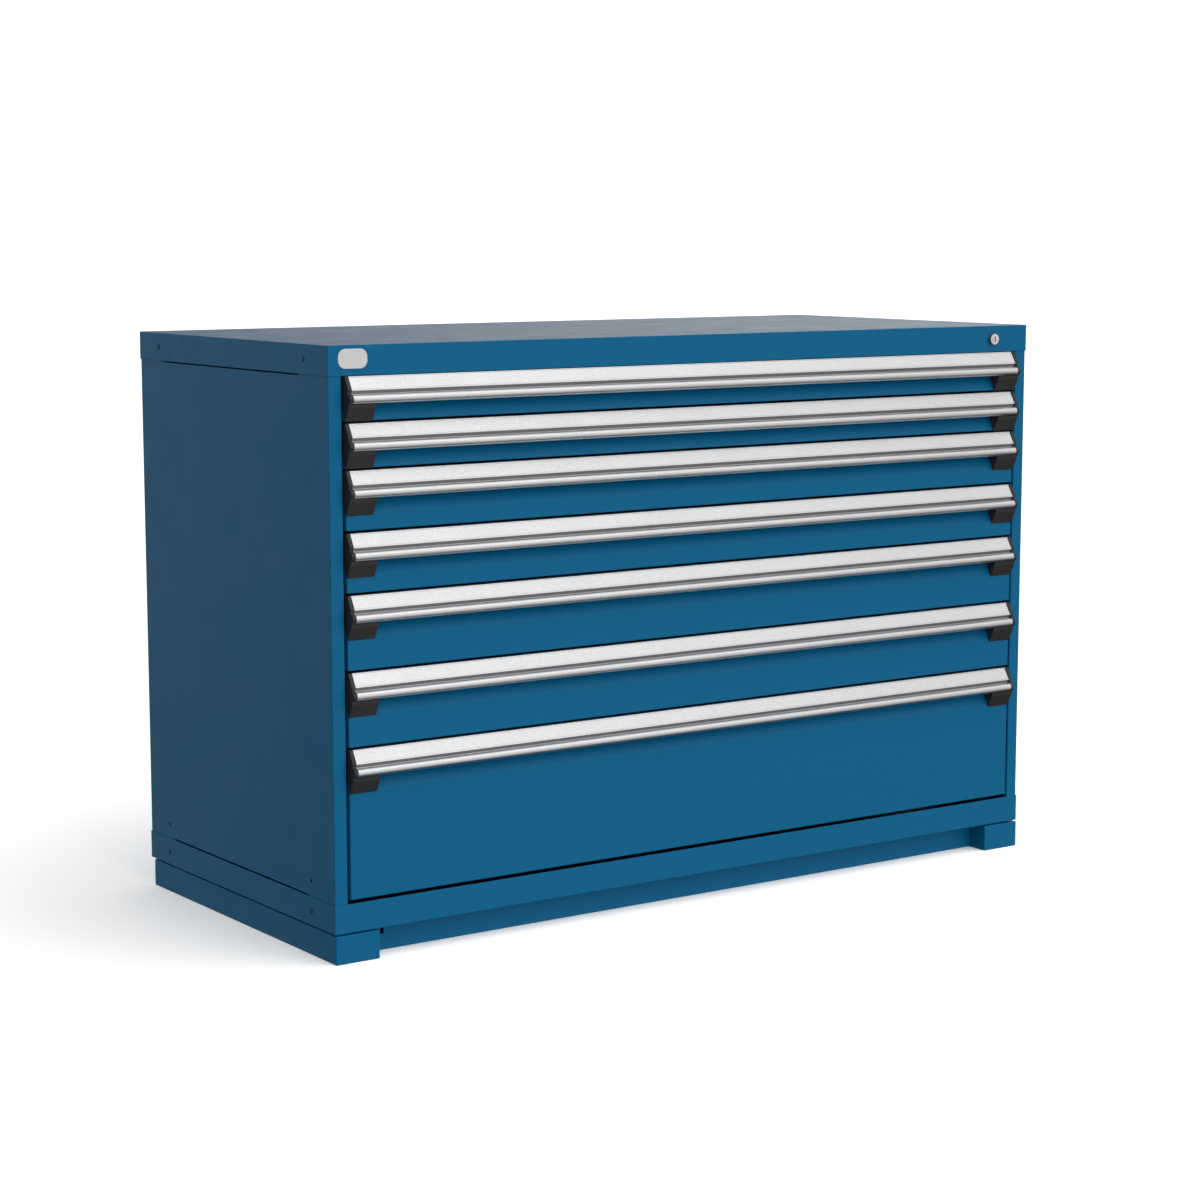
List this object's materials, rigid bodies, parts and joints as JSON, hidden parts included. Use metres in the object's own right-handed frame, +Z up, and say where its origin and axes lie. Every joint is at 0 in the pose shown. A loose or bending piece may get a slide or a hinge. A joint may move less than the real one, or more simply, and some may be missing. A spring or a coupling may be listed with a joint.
{
  "type": "modular drawer cabinet",
  "caption": "Wide low industrial drawer cabinet on a two-leg base: full-width drawers with aluminium pull handles on roller slides, and a central lock.",
  "frame": {"origin": "on the floor, at the middle of the overall footprint, handles and side screws included", "axes": "+X to the right seen from the front, +Y to the rear (the drawers face -Y and open that way), +Z up"},
  "size_m": [1.5262, 0.7046, 1.016],
  "materials": {
    "housing_paint": "satin powder coat, blue",
    "front_paint": "satin powder coat, blue",
    "base_paint": "satin powder coat, blue",
    "tray_paint": "light grey paint",
    "handle_aluminium": "bright anodised, satin",
    "label_strip": "fine brushed, silver",
    "cap_plastic": "black, fine grain",
    "slide_steel": "zinc plated",
    "frame_steel": "satin powder coat, blue",
    "lock_nickel": "nickel plated",
    "lock_steel": "zinc plated",
    "guide_plastic": "black",
    "plate_blank": "off-white, blank",
    "screw_steel": "zinc plated"
  },
  "bodies": {
    "cabinet": {"left_side_panel": "housing_paint", "right_side_panel": "housing_paint", "rear_panel": "housing_paint", "top_panel": "housing_paint", "bottom_panel": "housing_paint", "uprights": "frame_steel", "cabinet_rails": "slide_steel", "base_left_leg": "base_paint", "base_right_leg": "base_paint", "base_front_cover": "base_paint", "base_rear_cover": "base_paint", "housing_bolts": "screw_steel", "lock_housing": "lock_nickel", "name_plate": "plate_blank", "lock_bar_guides": "guide_plastic"},
    "drawer_1": {"drawer_1_tray": "tray_paint", "drawer_1_front": "front_paint", "drawer_1_handle": "handle_aluminium", "drawer_1_handle_caps": "cap_plastic", "drawer_1_label_strip": "label_strip"},
    "drawer_2": {"drawer_2_tray": "tray_paint", "drawer_2_front": "front_paint", "drawer_2_handle": "handle_aluminium", "drawer_2_handle_caps": "cap_plastic", "drawer_2_label_strip": "label_strip"},
    "drawer_3": {"drawer_3_tray": "tray_paint", "drawer_3_front": "front_paint", "drawer_3_handle": "handle_aluminium", "drawer_3_handle_caps": "cap_plastic", "drawer_3_label_strip": "label_strip"},
    "drawer_4": {"drawer_4_tray": "tray_paint", "drawer_4_front": "front_paint", "drawer_4_handle": "handle_aluminium", "drawer_4_handle_caps": "cap_plastic", "drawer_4_label_strip": "label_strip"},
    "drawer_5": {"drawer_5_tray": "tray_paint", "drawer_5_front": "front_paint", "drawer_5_handle": "handle_aluminium", "drawer_5_handle_caps": "cap_plastic", "drawer_5_label_strip": "label_strip"},
    "drawer_6": {"drawer_6_tray": "tray_paint", "drawer_6_front": "front_paint", "drawer_6_handle": "handle_aluminium", "drawer_6_handle_caps": "cap_plastic", "drawer_6_label_strip": "label_strip"},
    "drawer_7": {"drawer_7_tray": "tray_paint", "drawer_7_front": "front_paint", "drawer_7_handle": "handle_aluminium", "drawer_7_handle_caps": "cap_plastic", "drawer_7_label_strip": "label_strip"},
    "carriage_1": {"drawer_1_carriages": "slide_steel"},
    "carriage_2": {"drawer_2_carriages": "slide_steel"},
    "carriage_3": {"drawer_3_carriages": "slide_steel"},
    "carriage_4": {"drawer_4_carriages": "slide_steel"},
    "carriage_5": {"drawer_5_carriages": "slide_steel"},
    "carriage_6": {"drawer_6_carriages": "slide_steel"},
    "carriage_7": {"drawer_7_carriages": "slide_steel"},
    "lock_plug": {"lock_plug": "lock_nickel", "lock_cam": "lock_steel"},
    "lock_bar": {"lock_bar": "lock_steel"}
  },
  "joints": [
    {"name": "drawer_1_slide", "type": "slide", "parent": "cabinet", "child": "drawer_1", "axis": [0, -1, 0], "range_m": [0, 0.6]},
    {"name": "drawer_2_slide", "type": "slide", "parent": "cabinet", "child": "drawer_2", "axis": [0, -1, 0], "range_m": [0, 0.6]},
    {"name": "drawer_3_slide", "type": "slide", "parent": "cabinet", "child": "drawer_3", "axis": [0, -1, 0], "range_m": [0, 0.6]},
    {"name": "drawer_4_slide", "type": "slide", "parent": "cabinet", "child": "drawer_4", "axis": [0, -1, 0], "range_m": [0, 0.6]},
    {"name": "drawer_5_slide", "type": "slide", "parent": "cabinet", "child": "drawer_5", "axis": [0, -1, 0], "range_m": [0, 0.6]},
    {"name": "drawer_6_slide", "type": "slide", "parent": "cabinet", "child": "drawer_6", "axis": [0, -1, 0], "range_m": [0, 0.6]},
    {"name": "drawer_7_slide", "type": "slide", "parent": "cabinet", "child": "drawer_7", "axis": [0, -1, 0], "range_m": [0, 0.6]},
    {"name": "carriage_1_slide", "type": "slide", "parent": "cabinet", "child": "carriage_1", "axis": [0, -1, 0], "range_m": [0, 0.3]},
    {"name": "carriage_2_slide", "type": "slide", "parent": "cabinet", "child": "carriage_2", "axis": [0, -1, 0], "range_m": [0, 0.3]},
    {"name": "carriage_3_slide", "type": "slide", "parent": "cabinet", "child": "carriage_3", "axis": [0, -1, 0], "range_m": [0, 0.3]},
    {"name": "carriage_4_slide", "type": "slide", "parent": "cabinet", "child": "carriage_4", "axis": [0, -1, 0], "range_m": [0, 0.3]},
    {"name": "carriage_5_slide", "type": "slide", "parent": "cabinet", "child": "carriage_5", "axis": [0, -1, 0], "range_m": [0, 0.3]},
    {"name": "carriage_6_slide", "type": "slide", "parent": "cabinet", "child": "carriage_6", "axis": [0, -1, 0], "range_m": [0, 0.3]},
    {"name": "carriage_7_slide", "type": "slide", "parent": "cabinet", "child": "carriage_7", "axis": [0, -1, 0], "range_m": [0, 0.3]},
    {"name": "lock_turn", "type": "hinge", "parent": "cabinet", "child": "lock_plug", "pos_m": [0.675, -0.33355, 0.9907], "axis": [0, 1, 0], "range_deg": [0, 90]},
    {"name": "lock_bar_slide", "type": "slide", "parent": "cabinet", "child": "lock_bar", "axis": [0, 0, 1], "range_m": [0, 0.012]}
  ],
  "couplings": [
    {"joint": "carriage_1_slide", "follows": "drawer_1_slide", "ratio": 0.5},
    {"joint": "carriage_2_slide", "follows": "drawer_2_slide", "ratio": 0.5},
    {"joint": "carriage_3_slide", "follows": "drawer_3_slide", "ratio": 0.5},
    {"joint": "carriage_4_slide", "follows": "drawer_4_slide", "ratio": 0.5},
    {"joint": "carriage_5_slide", "follows": "drawer_5_slide", "ratio": 0.5},
    {"joint": "carriage_6_slide", "follows": "drawer_6_slide", "ratio": 0.5},
    {"joint": "carriage_7_slide", "follows": "drawer_7_slide", "ratio": 0.5},
    {"joint": "lock_turn", "follows": "lock_bar_slide", "rad_per_m": 130.9}
  ]
}
